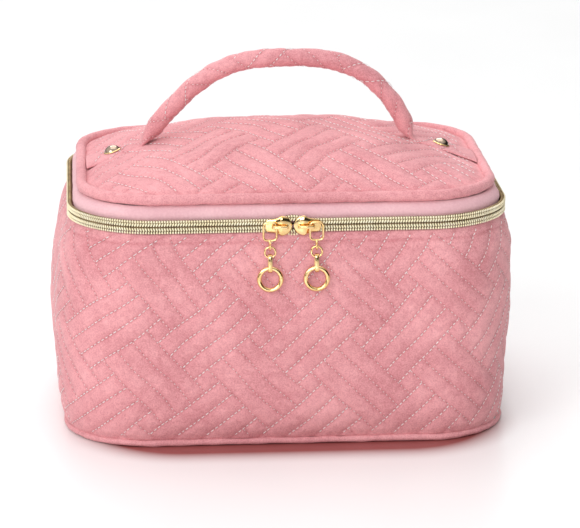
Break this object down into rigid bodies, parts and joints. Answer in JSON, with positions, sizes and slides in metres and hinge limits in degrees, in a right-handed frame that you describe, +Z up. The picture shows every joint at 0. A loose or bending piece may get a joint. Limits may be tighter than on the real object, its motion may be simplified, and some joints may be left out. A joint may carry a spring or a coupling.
{
  "type": "makeup bag",
  "caption": "Quilted velvet makeup bag with a domed lid, a gold coil zip with ring pulls round its mouth, a padded top handle held by domed rivets, and a stiff flat base.",
  "frame": {"origin": "on the ground, under the middle of the base", "axes": "+X along the bag's length, to the viewer's right when facing its front; -Y towards the front, where the zip sliders meet; +Z up"},
  "size_m": [0.226, 0.1716, 0.1758],
  "materials": {
    "velvet": "dusty pink short-pile velvet",
    "tape": "pink knitted zip tape and binding",
    "lining": "plain woven pink lining",
    "foam": "white wadding",
    "board": "plain stiffening board",
    "coil": "metallised gold nylon coil",
    "gold": "polished pale gold plating"
  },
  "bodies": {
    "bag": {"quilted_wall": "velvet", "base_welt": "velvet", "base_panel": "velvet", "base_board": "board", "wall_foam": "foam", "body_lining": "lining", "mouth_binding": "tape", "zip_tape_lower": "tape", "zip_coil_lower": "coil", "hinge_leaf_lower": "velvet"},
    "lid": {"quilted_lid": "velvet", "lid_foam": "foam", "lid_lining": "lining", "lid_piping": "velvet", "lid_binding": "tape", "zip_tape_upper": "tape", "zip_coil_upper": "coil", "hinge_leaf_upper": "velvet", "handle_tab_left": "velvet", "handle_tab_right": "velvet", "rivet_cap_left": "gold", "rivet_cap_right": "gold", "rivet_back_left": "gold", "rivet_back_right": "gold"},
    "handle": {"handle_cover": "velvet", "handle_core": "foam"},
    "slider_left": {"slider_left": "gold"},
    "frame_left": {"pull_frame_left": "gold"},
    "small_ring_left": {"pull_small_ring_left": "gold"},
    "link_left": {"pull_link_left": "gold"},
    "big_ring_left": {"pull_big_ring_left": "gold"},
    "slider_right": {"slider_right": "gold"},
    "frame_right": {"pull_frame_right": "gold"},
    "small_ring_right": {"pull_small_ring_right": "gold"},
    "link_right": {"pull_link_right": "gold"},
    "big_ring_right": {"pull_big_ring_right": "gold"}
  },
  "joints": [
    {"name": "lid_hinge", "type": "hinge", "parent": "bag", "child": "lid", "pos_m": [0, 0.0812, 0.108], "axis": [-1, 0, 0], "range_deg": [0, 110]},
    {"name": "handle_lean", "type": "hinge", "parent": "lid", "child": "handle", "pos_m": [-0.0018, 0, 0.1312], "axis": [1, 0, 0], "range_deg": [-40, 40], "stiffness_Nm_per_rad": 0.02},
    {"name": "slider_left_run", "type": "slide", "parent": "bag", "child": "slider_left", "axis": [-1, 0, 0], "range_m": [0, 0.046]},
    {"name": "frame_left_swing", "type": "hinge", "parent": "slider_left", "child": "frame_left", "pos_m": [-0.01085, -0.0858, 0.108], "axis": [-1, 0, 0], "range_deg": [0, 28]},
    {"name": "small_ring_left_swing", "type": "hinge", "parent": "frame_left", "child": "small_ring_left", "pos_m": [-0.01085, -0.08494, 0.09864], "axis": [-1, 0, 0], "range_deg": [0, 45]},
    {"name": "link_left_swing", "type": "hinge", "parent": "small_ring_left", "child": "link_left", "pos_m": [-0.01085, -0.0852, 0.09365], "axis": [-1, 0, 0], "range_deg": [0, 45]},
    {"name": "big_ring_left_swing", "type": "hinge", "parent": "link_left", "child": "big_ring_left", "pos_m": [-0.01085, -0.08547, 0.08851], "axis": [-1, 0, 0], "range_deg": [0, 45]},
    {"name": "slider_right_run", "type": "slide", "parent": "bag", "child": "slider_right", "axis": [1, 0, 0], "range_m": [0, 0.046]},
    {"name": "frame_right_swing", "type": "hinge", "parent": "slider_right", "child": "frame_right", "pos_m": [0.01085, -0.0858, 0.108], "axis": [-1, 0, 0], "range_deg": [0, 28]},
    {"name": "small_ring_right_swing", "type": "hinge", "parent": "frame_right", "child": "small_ring_right", "pos_m": [0.01085, -0.08494, 0.09864], "axis": [-1, 0, 0], "range_deg": [0, 45]},
    {"name": "link_right_swing", "type": "hinge", "parent": "small_ring_right", "child": "link_right", "pos_m": [0.01085, -0.0852, 0.09365], "axis": [-1, 0, 0], "range_deg": [0, 45]},
    {"name": "big_ring_right_swing", "type": "hinge", "parent": "link_right", "child": "big_ring_right", "pos_m": [0.01085, -0.08547, 0.08851], "axis": [-1, 0, 0], "range_deg": [0, 45]}
  ]
}
